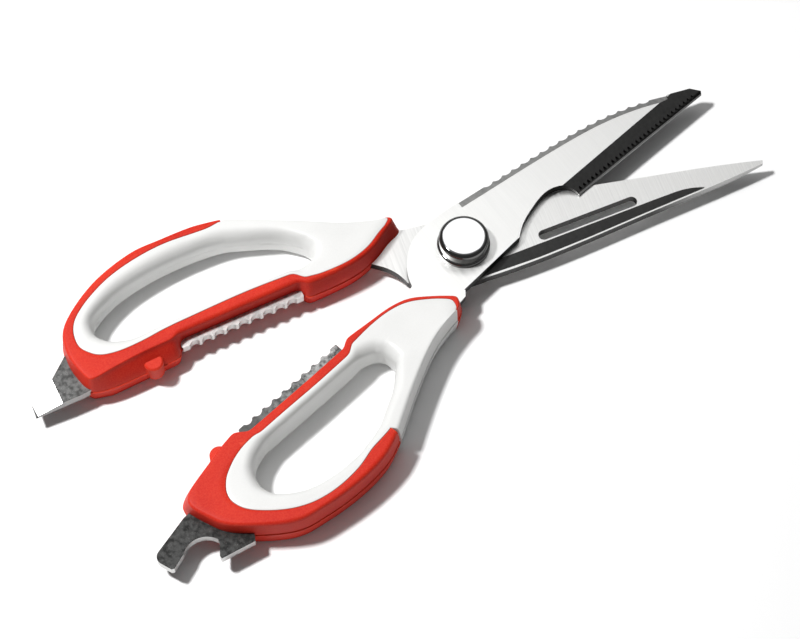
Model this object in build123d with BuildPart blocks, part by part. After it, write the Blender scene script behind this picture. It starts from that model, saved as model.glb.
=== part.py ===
from build123d import *
import os
from math import atan2, cos, degrees, hypot, radians, sin

# Poultry shears with two moulded finger-loop handles.
#
# The origin is on the pivot axis, on the surface that the shears lie on.
# +X runs along the shears, midway between the two open blades, and +Z is up.
# Each half is drawn in its own frames, which share the pivot axis: a blade frame,
# whose X axis runs to the blade's tip, and a grip frame, whose X axis runs along
# the handle. In both, +Y is the side of the cutting edge and of the finger loop.
# The scaler half is the slotted half's recipe turned over, so its frames look down.

# ---------------------------------------------------------------- heights
HANDLE_THICK = 13.5
MID = HANDLE_THICK / 2
BLADE_THICK = 2.8
FRICTION_WASHER = 0.3
TANG_LOW = MID - FRICTION_WASHER / 2 - BLADE_THICK
TANG_HIGH = TANG_LOW + BLADE_THICK
INSERT_THICK = 2.8
INSERT_LOW = MID - INSERT_THICK / 2
BOSS_TOP = MID + 2.6

# ---------------------------------------------------------------- angles, in degrees
HALF_OPEN = 9.0
SLOTTED_SWEEP = 7.3
SCALER_SWEEP = 8.2

# ---------------------------------------------------------------- fits
POCKET_GAP = 0.1
BOSS_RADIUS = 1.5
BOSS_GAP = 0.05
BOSS_ROOT = 0.5
EDGE_BREAK = 0.8
CORNER_RADIUS = 0.9
HEEL_RADIUS = 3.0

# ---------------------------------------------------------------- pivot
SHOULDER_RADIUS = 4.0
PIVOT_GAP = 0.05
KEY_RADIUS = 3.6
KEY_FLAT = 2.7
THREAD_RADIUS = 3.0
NUT_RADIUS = 6.5
NUT_HIGH = 3.0
NUT_FLOOR = 0.8
FLANGE_RADIUS = 8.35
FLANGE_THICK = 1.6
FLANGE_EDGE_RADIUS = 0.75
CAP_RADIUS = 7.85
CAP_DISC_RADIUS = 6.4
CAP_HIGH = 4.2
CAP_SHOULDER = 1.5
CAP_SHOULDER_RADIUS = 1.6
HEAD_RADIUS = 6.2
HEAD_HIGH = 3.0
THREAD_END_GAP = 0.2
SPANNER_RADIUS = 0.8
SPANNER_DEPTH = 1.5
SPANNER_AT = 4.6
NUT_EDGE_BREAK = 0.5
SPRING_INNER = THREAD_RADIUS + 0.4
SPRING_OUTER = 6.2
SPRING_THICK = 0.5
FRICTION_WASHER_RADIUS = 7.5


class Half:
    """One half of the shears: its side, its frames and the outline of its handle."""

    def __init__(self, name, side, blade_turn, sweep):
        self.name = name
        self.side = side
        self.blade_turn = blade_turn
        self.grip_turn = blade_turn + sweep

    def level(self, turn, low):
        """The plane at a height above the half's own lower face."""
        height = low if self.side > 0 else HANDLE_THICK - low
        direction = (cos(radians(turn)), sin(radians(turn)), 0)
        return Plane(origin=(0, 0, height), x_dir=direction, z_dir=(0, 0, self.side))

    def blade_level(self, low):
        return self.level(self.blade_turn, low)

    def grip_level(self, low):
        return self.level(self.grip_turn, low)


slotted = Half("slotted_half", 1, -HALF_OPEN, SLOTTED_SWEEP)
scaler = Half("scaler_half", -1, HALF_OPEN, SCALER_SWEEP)

# ---------------------------------------------------------------- handle outlines
# Inner side of the handle, from the collar to the nut recess.
slotted.collar = [(-14.6, 14.4), (-20, 12.6), (-26, 9.0), (-33, 6.5), (-41, 5.6), (-51, 5.5)]
slotted.recess = [(-53, 8.7), (-92.5, 8.7), (-95, 3.8)]
slotted.heel = [(-116, 3.3), (-125.8, 4.6)]
slotted.back = [
    (-125.8, 4.6), (-127.4, 16.5), (-124.2, 27.2), (-111.2, 37.6),
    (-96, 42.2), (-80, 43.3), (-66, 41.3), (-45, 31.2), (-26, 21.0), (-15.2, 17.6),
]
scaler.collar = [(-14.6, 12.4), (-20.5, 6.4), (-26.5, 1.4), (-33, -1.2), (-41, -2.2), (-51, -2.2)]
scaler.recess = [(-53, 0.2), (-92.5, 0.2), (-95, -3.6)]
scaler.heel = [(-110, -1.8), (-122.8, 1.8)]
scaler.back = [
    (-122.8, 1.8), (-121.4, 11.0), (-117.6, 20.0), (-104.2, 31.9),
    (-93, 35.8), (-80, 37.2), (-68.8, 36.0), (-52, 28.2), (-32, 19.0), (-15.6, 15.8),
]

# Edge of the soft grip: along the collar strip, behind the recess, then round the loop.
slotted.grip_front = [(-17.4, 18.6), (-18.6, 16.6), (-26, 11.6), (-32, 9.7), (-39, 8.9), (-50, 8.7)]
slotted.grip_bar = [(-52.6, 12.4), (-70, 12.9), (-100, 12.0)]
slotted.grip_loop = [
    (-100, 12.0), (-110, 11.6), (-118.6, 13.8), (-121.9, 20.5), (-118.8, 29.0),
    (-107.5, 35.8), (-95.8, 38.5), (-84, 39.7), (-69.6, 39.6),
]
slotted.rim_end = [(-66.5, 40.6), (-65.5, 43.0)]
scaler.grip_front = [(-17.2, 17.5), (-18.0, 14.4), (-22.4, 9.2), (-28.2, 4.8), (-36, 2.2), (-50, 1.6)]
scaler.grip_bar = [(-53.6, 3.9), (-70, 4.1), (-86, 3.3)]
scaler.grip_loop = [
    (-86, 3.3), (-97, 3.0), (-105, 5.2), (-111.6, 11.0), (-112.4, 17.5),
    (-107.6, 25.0), (-98, 29.4), (-84, 31.6), (-68.2, 30.6),
]
scaler.rim_end = [(-63.0, 31.6), (-60.6, 34.6)]

# The finger loop: its two flat corners and the curve round the rest.
slotted.loop = [
    (-104, 14.4), (-112.6, 16.6), (-116.2, 22.4), (-112.5, 27.8), (-103, 32.0),
    (-91, 34.4), (-79, 35.1), (-62.3, 32.6), (-52, 28.0), (-45.6, 22.8),
    (-43.8, 18.6), (-46.2, 15.3), (-51, 14.4),
]
scaler.loop = [
    (-90, 5.9), (-98.2, 8.6), (-101.8, 15.6), (-99.2, 22.0), (-91, 26.6),
    (-81, 28.6), (-70, 28.2), (-60, 25.0), (-51, 19.8), (-45.2, 13.8),
    (-44.8, 9.6), (-47.6, 6.7), (-53, 5.9),
]

# The tang lies between the collar and the finger loop.
slotted.tang = [
    (-11.5, 13.6), (-13.4, 14.9), (-20, 16.2), (-28, 18.3), (-39, 19.0),
    (-39, 10.2), (-33, 10.2), (-29.5, 9.4), (-25.9, 6.2), (-22, 5.5),
]
scaler.tang = [
    (-11.0, 11.6), (-12.6, 13.2), (-20, 14.2), (-28, 14.6), (-39, 15.0),
    (-39, 3.6), (-33, 3.2), (-28.4, 1.2), (-25.0, -0.6), (-21, -1.0),
]
slotted.tang_bosses = [(-25.5, 14.0), (-34.5, 14.6)]
scaler.tang_bosses = [(-24.5, 9.6), (-34.5, 9.2)]

# Nut jaw: the line through its teeth, and the jaw's depth from there into the shells.
slotted.jaw_line = 6.2
scaler.jaw_line = -3.8
JAW_DEPTH = 5.6
JAW_START = -52.2
JAW_END = -93.4
JAW_BITES = 9
JAW_BITE_RADIUS = 1.9
JAW_BITE_DEPTH = 0.9
JAW_TOOTH_RADIUS = 0.4

# Stop bumper on each handle's inner side.
BUMPER_RADIUS = 3.0
BUMPER_AT = -103.5
BUMPER_LOW = MID - 3.4
BUMPER_HIGH = MID + 3.4
BUMPER_EDGE_BREAK = 0.5
slotted.bumper_line = 1.9
scaler.bumper_line = -4.1

# How far the grip's area runs past the handle, so that it cuts the outline cleanly.
GRIP_REACH = 12.0

# End tools, with the tabs that the shells hold. The screwdriver tip is ground to a wedge.
WEDGE_ROOT = -133.6
WEDGE_END = -143.0
WEDGE_END_THICK = 0.9
PRY_REACH = 30.0
PRY_TIP = [
    (-112, 5.6), (-112, 10.0), (-120.4, 10.4), (-123.9, 14.0), (-124.6, 19.4),
    (-126.9, 19.7), (-133.4, 14.0), (-142.2, 9.7), (-142.6, 5.0), (-127.0, 5.0), (-121, 5.6),
]
OPENER_ROOT = [
    (-125.2, 22.2), (-125.4, 23.3), (-114.6, 26.2), (-112.6, 23.6), (-115.2, 15.0),
    (-114.8, 5.6), (-124.6, 5.8), (-137.2, 8.5),
]
OPENER_NOSE = [(-137.2, 8.5), (-139.0, 9.9), (-139.1, 12.0)]
OPENER_PRONG = [(-139.1, 12.0), (-138.2, 15.4), (-137.4, 15.8), (-132.4, 14.3)]
OPENER_ARCH = [(-132.4, 14.3), (-124.6, 14.4), (-122.0, 18.0)]
OPENER_LIP = (-122.4, 19.2)
slotted.tool_boss = (-117.5, 7.6)
scaler.tool_boss = (-118.0, 9.5)

# ---------------------------------------------------------------- blades
slotted.edge = [(101.8, 0.3), (80, 4.2), (62.1, 6.8), (46.5, 9.1), (26, 11.4), (8, 12.4), (-5, 12.4)]
slotted.spine = [(4, -11.6), (22, -10.7), (40, -8.8), (58, -6.5), (80, -3.9), (101.4, -0.9)]
slotted.neck_side = [(-26.6, 2.9), (-22.6, -1.0), (-20.4, -5.4)]
slotted.heel_curve = [(-20.4, -5.4), (-17.2, -8.4), (-12.0, -10.6), (-5, -11.8), (4, -11.6)]
SLOT_LENGTH = 34.2
SLOT_WIDTH = 3.6
SLOT_MIDDLE = (41.2, -1.8)
SLOT_TURN = 4.6
HOLLOW_DEPTH = 1.3
HOLLOW_START = (-4.0, -7.8)
HOLLOW_TURN = 4.7
HOLLOW_REACH = 8.0
HOLLOW_RUN = 86.0
HOLLOW_SLOPE = 0.24
HOLLOW_TOP = [(-3, -11.1), (-3, -7.6), (12, -6.2), (25.5, -5.4), (58.6, -2.6), (70, -1.8)]
HOLLOW_TIP = [(70, -1.8), (75.6, -1.9), (80.5, -3.1)]
HOLLOW_FOOT = [(80.5, -3.1), (80, -3.4), (58, -6.0), (40, -8.3), (22, -10.15), (4, -11.0), (-3, -11.1)]

scaler.spine = [(8, -13.4), (25, -13.1), (45, -12.6), (60, -11.6), (75, -8.9), (86.6, -5.0)]
scaler.heel_curve = [
    (-21.6, 1.8), (-20.2, -2.2), (-17.0, -6.7), (-12.3, -10.6), (-6, -12.7), (8, -13.4),
]
scaler.neck_side = [(-25.6, 4.3), (-23.2, 3.4), (-21.6, 1.8)]
NOTCH = [(41.4, 6.5), (39.0, 1.9), (33.9, 0.2), (26.2, 2.0), (20, 4.9), (15.9, 8.2)]
SCALER_TIP = [(86.6, -5.0), (94.7, -2.9), (97.6, -0.5), (96.9, 0.7)]
SAW_START = (41.4, 6.5)
SAW_END = (96.9, 0.7)
SAW_PITCH = 1.82
SAW_COUNT = 29
SAW_WIDE = 1.3
SAW_LONG = 1.5
SAW_INSET = 0.6
SAW_DEPTH = 2.35
SCALE_PITCH = 3.75
SCALE_COUNT = 17
SCALE_START = 20.0
SCALE_RADIUS = 2.35
SCALE_DEPTH = 0.7
SCALE_GROUND = 0.7
SCALE_BEVEL = 2.3

# A ground bevel falls away from its line to the cutting edge, which keeps this thickness.
EDGE_THICK = 0.5
SLOTTED_BEVEL_LINE = [(30, 6.6), (101.8, -3.9)]
SLOTTED_BEVEL_WIDTH = 4.6
SCALER_BEVEL_LINE = [(36.0, 1.8), (99.0, -6.0)]
SCALER_BEVEL_WIDTH = 5.8


def along(start, end, share):
    """The point that lies a share of the way from start to end."""
    return (start[0] + share * (end[0] - start[0]), start[1] + share * (end[1] - start[1]))


def handle_face(half):
    """The whole handle seen from above."""
    with BuildSketch() as area:
        with BuildLine():
            Spline(*half.collar)
            Polyline(half.collar[-1], *half.recess)
            Polyline(half.recess[-1], *half.heel)
            Spline(*half.back)
            Line(half.back[-1], half.collar[0])
        make_face()
        fillet(area.vertices().sort_by(Axis.X)[0], HEEL_RADIUS)
        fillet(area.vertices().sort_by(Axis.X)[2:], CORNER_RADIUS)
    return area.sketch


def loop_face(half):
    """The finger loop."""
    with BuildSketch() as area:
        with BuildLine():
            Spline(*half.loop)
            Line(half.loop[-1], half.loop[0])
        make_face()
    return area.sketch


def grip_face(half):
    """Everything on the soft grip's side of its edge."""
    far = half.grip_loop[-1][1] + GRIP_REACH
    start = half.grip_front[0]
    beyond = start[0] + GRIP_REACH
    with BuildSketch() as area:
        with BuildLine():
            Spline(*half.grip_front)
            Polyline(half.grip_front[-1], *half.grip_bar)
            Spline(*half.grip_loop)
            Polyline(half.grip_loop[-1], *half.rim_end)
            Polyline(half.rim_end[-1], (half.rim_end[-1][0], far), (beyond, far), (beyond, start[1]), start)
        make_face()
    return area.sketch


def closed_face(points, margin=0.0):
    """The area inside a ring of straight lines, with an optional margin round it."""
    with BuildSketch() as area:
        with BuildLine():
            Polyline(*points, close=True)
        make_face()
        if margin:
            offset(amount=margin, kind=Kind.INTERSECTION)
    return area.sketch


def jaw_face(half, margin=0.0):
    """The nut jaw without its teeth."""
    middle = ((JAW_START + JAW_END) / 2, half.jaw_line + JAW_DEPTH / 2)
    with BuildSketch() as area:
        with Locations(middle):
            Rectangle(JAW_START - JAW_END + 2 * margin, JAW_DEPTH + 2 * margin)
    return area.sketch


def pry_tip_face(margin=0.0):
    """The screwdriver tip with its tab and its root along the back of the handle."""
    return closed_face(PRY_TIP, margin)


def opener_face(margin=0.0):
    """The bottle opener: a blunt prong, the arch that takes the cap, and a hooked lip."""
    with BuildSketch() as area:
        with BuildLine():
            Polyline(*OPENER_ROOT)
            ThreePointArc(*OPENER_NOSE)
            Polyline(*OPENER_PRONG)
            ThreePointArc(*OPENER_ARCH)
            Polyline(OPENER_ARCH[-1], OPENER_LIP, OPENER_ROOT[0])
        make_face()
        if margin:
            offset(amount=margin, kind=Kind.INTERSECTION)
    return area.sketch


def tool_face(half, margin=0.0):
    """The end tool of a half."""
    return pry_tip_face(margin) if half is slotted else opener_face(margin)


def bumper_centre(half):
    """Where the stop bumper stands in the grip frame."""
    return (BUMPER_AT, half.bumper_line + BUMPER_RADIUS)


def seats(half, is_low):
    """The room that the tang, jaw, end tool and bumper take up in the handle."""
    with BuildPart() as room:
        if is_low:
            with BuildSketch(half.grip_level(TANG_LOW)):
                add(closed_face(half.tang, POCKET_GAP))
            extrude(amount=MID - TANG_LOW)
        with BuildSketch(half.grip_level(INSERT_LOW)):
            add(jaw_face(half, POCKET_GAP))
            add(tool_face(half, POCKET_GAP))
        extrude(amount=INSERT_THICK)
        with BuildSketch(half.grip_level(BUMPER_LOW)):
            with Locations(bumper_centre(half)):
                Circle(BUMPER_RADIUS + BOSS_GAP)
        extrude(amount=BUMPER_HIGH - BUMPER_LOW)
    return room.part


def bosses(half, points, is_low):
    """Round bosses on the low piece, or the sockets that they enter in the high piece."""
    radius = BOSS_RADIUS if is_low else BOSS_RADIUS + BOSS_GAP
    floor = TANG_LOW - BOSS_ROOT if is_low else MID
    top = BOSS_TOP if is_low else BOSS_TOP + BOSS_GAP
    with BuildPart() as pegs:
        with BuildSketch(half.grip_level(floor)):
            with Locations(*points):
                Circle(radius)
        extrude(amount=top - floor)
    return pegs.part


def ground_bevel(half, start, end, width):
    """The wedge that grinding takes off a blade, between its line and the cutting edge."""
    run = hypot(end[0] - start[0], end[1] - start[1])
    flat = half.blade_level(TANG_LOW)
    line = flat.from_local_coords(Vector(*end)) - flat.from_local_coords(Vector(*start))
    # Drawn across the line: its X is the distance from the line, its Y the depth.
    section = Plane(
        origin=flat.from_local_coords(Vector(*start)),
        x_dir=flat.z_dir.cross(line).normalized(),
        z_dir=line.normalized(),
    )
    depth = BLADE_THICK - EDGE_THICK
    with BuildPart() as wedge:
        with BuildSketch(section):
            with BuildLine():
                Polyline((0, 0), (2 * width, 2 * depth), (2 * width, -1), (0, -1), close=True)
            make_face()
        extrude(amount=run)
    return wedge.part


def ground_back(half, line):
    """What grinding takes off the low face all along a curved back."""
    flat = half.blade_level(TANG_LOW)
    with BuildPart() as strip:
        with BuildLine(flat) as path:
            Spline(*line)
        heading = path.line % 0
        across = Plane(origin=path.line @ 0, x_dir=flat.z_dir.cross(heading), z_dir=heading)
        with BuildSketch(across):
            with BuildLine():
                Polyline(
                    (SCALE_BEVEL, 0), (0, SCALE_GROUND), (-1, SCALE_GROUND), (-1, -1),
                    (SCALE_BEVEL, -1), close=True,
                )
            make_face()
        sweep(path=path.line)
    return strip.part


def save(part, label):
    """Name a finished piece and write it under that name."""
    part.label = label
    export_step(part, f"parts/{label}.step")


os.makedirs("parts", exist_ok=True)

# ---------------------------------------------------------------- shells and grips
# A half's low piece holds its tang. That is the bottom piece of the slotted half and
# the top piece of the scaler half.
for half in (slotted, scaler):
    for is_low in (True, False):
        level = "bottom" if is_low == (half is slotted) else "top"
        outer_face = 0 if level == "bottom" else -1
        base = 0 if is_low else MID
        room = seats(half, is_low)
        shell_pegs = bosses(half, [half.tool_boss], is_low)
        grip_pegs = bosses(half, half.tang_bosses, is_low)
        peg_mode = Mode.ADD if is_low else Mode.SUBTRACT

        with BuildPart() as shell:
            with BuildSketch(half.grip_level(base)):
                add(handle_face(half))
            extrude(amount=MID)
            chamfer(shell.edges().group_by(Axis.Z)[outer_face], EDGE_BREAK)
            with BuildSketch(half.grip_level(base)):
                add(grip_face(half))
            extrude(amount=MID, mode=Mode.SUBTRACT)
            add(room, mode=Mode.SUBTRACT)
            add(shell_pegs, mode=peg_mode)
        save(shell.part, f"{half.name}_{level}_shell")

        with BuildPart() as grip:
            with BuildSketch(half.grip_level(base)):
                add(handle_face(half))
                add(loop_face(half), mode=Mode.SUBTRACT)
            extrude(amount=MID)
            chamfer(grip.edges().group_by(Axis.Z)[outer_face], EDGE_BREAK)
            with BuildSketch(half.grip_level(base)):
                add(grip_face(half))
            extrude(amount=MID, mode=Mode.INTERSECT)
            add(room, mode=Mode.SUBTRACT)
            add(grip_pegs, mode=peg_mode)
        save(grip.part, f"{half.name}_{level}_grip")

# ---------------------------------------------------------------- nut jaws
for half in (slotted, scaler):
    tooth_pitch = (JAW_START - JAW_END) / (JAW_BITES + 1)
    bite_line = half.jaw_line + JAW_BITE_DEPTH - JAW_BITE_RADIUS
    bites = [(JAW_END + (i + 1) * tooth_pitch, bite_line) for i in range(JAW_BITES)]
    with BuildPart() as nut_jaw:
        with BuildSketch(half.grip_level(INSERT_LOW)) as outline:
            add(jaw_face(half))
            with Locations(*bites):
                Circle(JAW_BITE_RADIUS, mode=Mode.SUBTRACT)
            fillet(outline.vertices().group_by(Axis.Y)[0], JAW_TOOTH_RADIUS)
        extrude(amount=INSERT_THICK)
    save(nut_jaw.part, f"{half.name}_nut_jaw")

# ---------------------------------------------------------------- end tools
with BuildPart() as screwdriver_tip:
    with BuildSketch(slotted.grip_level(INSERT_LOW)):
        add(pry_tip_face())
        with Locations(slotted.tool_boss):
            Circle(BOSS_RADIUS + POCKET_GAP, mode=Mode.SUBTRACT)
    extrude(amount=INSERT_THICK)
    lower_face = slotted.grip_level(INSERT_LOW)
    side_on = Plane(origin=lower_face.origin, x_dir=lower_face.x_dir, z_dir=-lower_face.y_dir)
    with BuildSketch(side_on):
        with BuildLine():
            Polyline(
                (WEDGE_ROOT, INSERT_THICK), (WEDGE_END, WEDGE_END_THICK),
                (WEDGE_END, INSERT_THICK + 1), (WEDGE_ROOT, INSERT_THICK + 1), close=True,
            )
        make_face()
    extrude(amount=-PRY_REACH, mode=Mode.SUBTRACT)
save(screwdriver_tip.part, "screwdriver_tip")

with BuildPart() as bottle_opener:
    with BuildSketch(scaler.grip_level(INSERT_LOW)):
        add(opener_face())
        with Locations(scaler.tool_boss):
            Circle(BOSS_RADIUS + POCKET_GAP, mode=Mode.SUBTRACT)
    extrude(amount=INSERT_THICK)
save(bottle_opener.part, "bottle_opener")

# ---------------------------------------------------------------- stop bumpers
for half in (slotted, scaler):
    with BuildPart() as bumper:
        with BuildSketch(half.grip_level(BUMPER_LOW)):
            with Locations(bumper_centre(half)):
                Circle(BUMPER_RADIUS)
        extrude(amount=BUMPER_HIGH - BUMPER_LOW)
        chamfer(bumper.edges().filter_by(GeomType.CIRCLE), BUMPER_EDGE_BREAK)
    save(bumper.part, f"{half.name}_stop_bumper")

# ---------------------------------------------------------------- slotted blade
slotted_bevel = ground_bevel(slotted, *SLOTTED_BEVEL_LINE, SLOTTED_BEVEL_WIDTH)
hollow_top = slotted.blade_level(TANG_HIGH)
hollow_line = Vector(cos(radians(HOLLOW_TURN)), sin(radians(HOLLOW_TURN)), 0)
hollow_start = hollow_top.from_local_coords(Vector(*HOLLOW_START, 0))
hollow_heading = hollow_top.from_local_coords(hollow_line) - hollow_top.origin
hollow_side = Plane(
    origin=hollow_start, x_dir=hollow_heading.cross(hollow_top.z_dir), z_dir=hollow_heading,
)
# Its floor falls from its upper rim towards the back, where a low wall ends it.
with BuildPart() as hollow:
    with BuildSketch(slotted.blade_level(TANG_HIGH - HOLLOW_DEPTH)):
        with BuildLine():
            Polyline(*HOLLOW_TOP)
            ThreePointArc(*HOLLOW_TIP)
            Polyline(*HOLLOW_FOOT)
        make_face()
    extrude(amount=HOLLOW_DEPTH)
    with BuildSketch(hollow_side):
        with BuildLine():
            Polyline(
                (-1, -1), (HOLLOW_REACH, -1), (HOLLOW_REACH, HOLLOW_REACH * HOLLOW_SLOPE),
                (0, 0), (-1, 0), close=True,
            )
        make_face()
    extrude(amount=HOLLOW_RUN, mode=Mode.INTERSECT)
with BuildPart() as slotted_blade:
    with BuildSketch(slotted.blade_level(TANG_LOW)):
        with BuildLine():
            Spline(*slotted.edge)
            Line(slotted.edge[-1], (-15.1, 13.0))
            Line((-15.1, 13.0), slotted.neck_side[0])
            Spline(*slotted.neck_side)
            Spline(*slotted.heel_curve)
            Spline(*slotted.spine)
            Line(slotted.spine[-1], slotted.edge[0])
        make_face()
        with Locations(SLOT_MIDDLE):
            SlotOverall(SLOT_LENGTH, SLOT_WIDTH, rotation=SLOT_TURN, mode=Mode.SUBTRACT)
    extrude(amount=BLADE_THICK)
    with BuildSketch(slotted.grip_level(TANG_LOW)):
        add(closed_face(slotted.tang))
    extrude(amount=BLADE_THICK)
    with BuildSketch(slotted.grip_level(TANG_LOW)):
        with Locations(*slotted.tang_bosses):
            Circle(BOSS_RADIUS + POCKET_GAP)
    extrude(amount=BLADE_THICK, mode=Mode.SUBTRACT)
    # The bolt's two flats keep it from turning in this blade.
    with BuildSketch(slotted.blade_level(TANG_LOW)):
        Circle(KEY_RADIUS + PIVOT_GAP)
        Rectangle(2 * (KEY_FLAT + PIVOT_GAP), 4 * KEY_RADIUS, mode=Mode.INTERSECT)
    extrude(amount=BLADE_THICK, mode=Mode.SUBTRACT)
    # Ground hollow along the back, on the face that shows.
    add(hollow, mode=Mode.SUBTRACT)
    add(slotted_bevel, mode=Mode.SUBTRACT)
save(slotted_blade.part, "slotted_blade")

# ---------------------------------------------------------------- scaler blade
saw_run = hypot(SAW_END[0] - SAW_START[0], SAW_END[1] - SAW_START[1])
saw_turn = degrees(atan2(SAW_END[1] - SAW_START[1], SAW_END[0] - SAW_START[0]))
saw_points = [along(SAW_START, SAW_END, (i + 1) * SAW_PITCH / saw_run) for i in range(SAW_COUNT)]
# A saw gap is a wedge-shaped bite in the bevel, which leaves the outermost edge whole.
tooth_gap = closed_face([
    (-SAW_WIDE / 2, -SAW_INSET), (0.35 * SAW_WIDE, -SAW_INSET - 0.25), (SAW_WIDE / 2, -SAW_INSET),
    (0.1 * SAW_WIDE, -SAW_INSET - SAW_LONG), (-0.3 * SAW_WIDE, -SAW_INSET - 0.7 * SAW_LONG),
])
scaler_bevel = ground_bevel(scaler, *SCALER_BEVEL_LINE, SCALER_BEVEL_WIDTH)
scaler_back = ground_back(scaler, scaler.spine)
with BuildPart() as scaler_blade:
    with BuildSketch(scaler.blade_level(TANG_LOW)):
        with BuildLine():
            Line((-10.7, 13.0), (-14.4, 11.0))
            Line((-14.4, 11.0), scaler.neck_side[0])
            Spline(*scaler.neck_side)
            Spline(*scaler.heel_curve)
            back = Spline(*scaler.spine)
            Polyline(*SCALER_TIP)
            Line(SAW_END, SAW_START)
            Spline(*NOTCH)
            Line(NOTCH[-1], (-10.7, 13.0))
        make_face()
        Circle(SHOULDER_RADIUS + PIVOT_GAP, mode=Mode.SUBTRACT)
    extrude(amount=BLADE_THICK)
    # The back is ground thin on the face that shows, and the scallops are bitten out of it.
    add(scaler_back, mode=Mode.SUBTRACT)
    with BuildSketch(scaler.blade_level(TANG_LOW)):
        for tooth in range(SCALE_COUNT):
            share = (SCALE_START - scaler.spine[0][0] + tooth * SCALE_PITCH) / back.length
            spot = back @ share
            side = back % share
            outward = SCALE_RADIUS - SCALE_DEPTH
            with Locations((spot.X + side.Y * outward, spot.Y - side.X * outward)):
                Circle(SCALE_RADIUS)
    extrude(amount=BLADE_THICK, mode=Mode.SUBTRACT)
    # The cutting edge: one wide bevel with saw teeth.
    add(scaler_bevel, mode=Mode.SUBTRACT)
    with BuildSketch(scaler.blade_level(TANG_LOW)):
        with Locations(*saw_points):
            add(tooth_gap.rotate(Axis.Z, saw_turn))
    extrude(amount=SAW_DEPTH, mode=Mode.SUBTRACT)
    with BuildSketch(scaler.grip_level(TANG_LOW)):
        add(closed_face(scaler.tang))
    extrude(amount=BLADE_THICK)
    with BuildSketch(scaler.grip_level(TANG_LOW)):
        with Locations(*scaler.tang_bosses):
            Circle(BOSS_RADIUS + POCKET_GAP)
    extrude(amount=BLADE_THICK, mode=Mode.SUBTRACT)
save(scaler_blade.part, "scaler_blade")

# ---------------------------------------------------------------- pivot
BLADE_TOP = HANDLE_THICK - TANG_LOW
FLANGE_TOP = BLADE_TOP + FLANGE_THICK

with BuildPart() as pivot_nut:
    with BuildSketch(Plane.XY):
        Circle(NUT_RADIUS)
    extrude(amount=NUT_HIGH)
    chamfer(pivot_nut.edges().sort_by(Axis.Z)[0], NUT_EDGE_BREAK)
    with BuildSketch(Plane.XY.offset(NUT_FLOOR)):
        Circle(THREAD_RADIUS)
    extrude(amount=NUT_HIGH, mode=Mode.SUBTRACT)
    # Two blind holes for a pin spanner.
    with BuildSketch(Plane.XY):
        with PolarLocations(SPANNER_AT, 2):
            Circle(SPANNER_RADIUS)
    extrude(amount=SPANNER_DEPTH, mode=Mode.SUBTRACT)
save(pivot_nut.part, "pivot_nut")

# A cone washer, pressed flat between the nut and the slotted blade.
with BuildPart() as spring_washer:
    with BuildSketch(Plane.XZ):
        with BuildLine():
            Polyline(
                (SPRING_INNER, NUT_HIGH), (SPRING_OUTER, TANG_LOW - SPRING_THICK),
                (SPRING_OUTER, TANG_LOW), (SPRING_INNER, NUT_HIGH + SPRING_THICK), close=True,
            )
        make_face()
    revolve(axis=Axis.Z)
save(spring_washer.part, "spring_washer")

with BuildPart() as friction_washer:
    with BuildSketch(Plane.XY.offset(TANG_HIGH)):
        Circle(FRICTION_WASHER_RADIUS)
        Circle(SHOULDER_RADIUS + PIVOT_GAP, mode=Mode.SUBTRACT)
    extrude(amount=FRICTION_WASHER)
save(friction_washer.part, "friction_washer")

with BuildPart() as flange_washer:
    with BuildSketch(Plane.XY.offset(BLADE_TOP)):
        Circle(FLANGE_RADIUS)
        Circle(SHOULDER_RADIUS + PIVOT_GAP, mode=Mode.SUBTRACT)
    extrude(amount=FLANGE_THICK)
    fillet(flange_washer.edges().group_by(Axis.Z)[-1].sort_by(SortBy.LENGTH)[-1], FLANGE_EDGE_RADIUS)
save(flange_washer.part, "flange_washer")

with BuildPart() as pivot_bolt:
    with BuildSketch(Plane.XY.offset(NUT_FLOOR + THREAD_END_GAP)):
        Circle(THREAD_RADIUS)
    extrude(amount=TANG_LOW - NUT_FLOOR - THREAD_END_GAP)
    with BuildSketch(slotted.blade_level(TANG_LOW)):
        Circle(KEY_RADIUS)
        Rectangle(2 * KEY_FLAT, 4 * KEY_RADIUS, mode=Mode.INTERSECT)
    extrude(amount=BLADE_THICK)
    with BuildSketch(Plane.XY.offset(TANG_HIGH)):
        Circle(SHOULDER_RADIUS)
    extrude(amount=FLANGE_TOP - TANG_HIGH)
    with BuildSketch(Plane.XY.offset(FLANGE_TOP)):
        Circle(HEAD_RADIUS)
    extrude(amount=HEAD_HIGH)
save(pivot_bolt.part, "pivot_bolt")

# The cap is pressed over the bolt's head.
CAP_TOP = FLANGE_TOP + CAP_HIGH
HEAD_TOP = FLANGE_TOP + HEAD_HIGH
CAP_BORE = HEAD_RADIUS + PIVOT_GAP
with BuildPart() as pivot_cap:
    with BuildSketch(Plane.XZ):
        with BuildLine():
            Polyline(
                (0, HEAD_TOP), (CAP_BORE, HEAD_TOP), (CAP_BORE, FLANGE_TOP),
                (CAP_RADIUS, FLANGE_TOP), (CAP_RADIUS, CAP_TOP - CAP_SHOULDER),
            )
            RadiusArc(
                (CAP_RADIUS, CAP_TOP - CAP_SHOULDER), (CAP_DISC_RADIUS, CAP_TOP),
                -CAP_SHOULDER_RADIUS,
            )
            Polyline((CAP_DISC_RADIUS, CAP_TOP), (0, CAP_TOP), (0, HEAD_TOP))
        make_face()
    revolve(axis=Axis.Z)
save(pivot_cap.part, "pivot_cap")
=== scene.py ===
"""Looks for the poultry shears: moulded handles, ground steel, floor, light and camera."""

import math

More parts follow.
